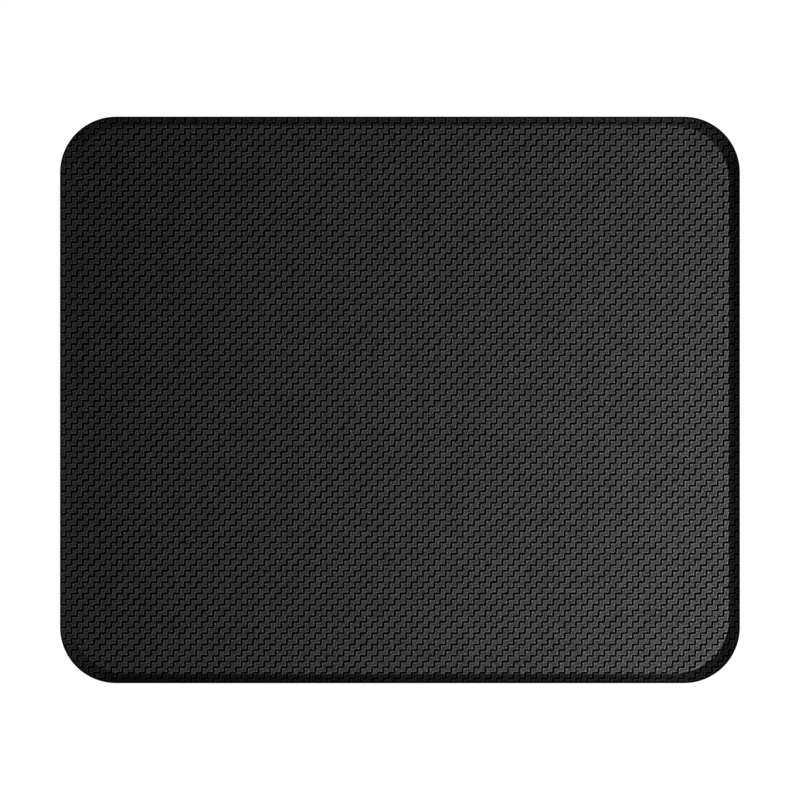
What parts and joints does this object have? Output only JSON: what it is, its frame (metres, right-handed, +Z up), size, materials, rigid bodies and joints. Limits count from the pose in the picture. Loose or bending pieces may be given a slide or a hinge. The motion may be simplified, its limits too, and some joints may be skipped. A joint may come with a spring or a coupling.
{
  "type": "mouse pad",
  "caption": "Flat rounded-rectangle mouse pad: stair-step twill cloth bonded over a thin foam cushion on an anti-slip rubber base, with a sloping pressed edge all round.",
  "frame": {"origin": "centre of the underside, on the surface that the pad lies on", "axes": "+Z up, out of the face that the mouse runs on; +X along the long side, to the right in the picture; +Y along the short side, towards the top of the picture"},
  "size_m": [0.24, 0.2, 0.003],
  "materials": {
    "rubber": "matte black anti-slip rubber with a fine moulded tread underneath",
    "bond_film": "thin pale hot-melt adhesive film, hidden between the layers",
    "foam": "dark fine-celled cushion foam, matte, hidden between the layers",
    "cloth": "black woven twill with stair-step ribs and dark grooves, low sheen"
  },
  "bodies": {
    "root": {"rubber_base": "rubber", "base_bond_film": "bond_film", "foam_cushion": "foam", "cloth_bond_film": "bond_film", "top_cloth": "cloth"}
  },
  "joints": []
}
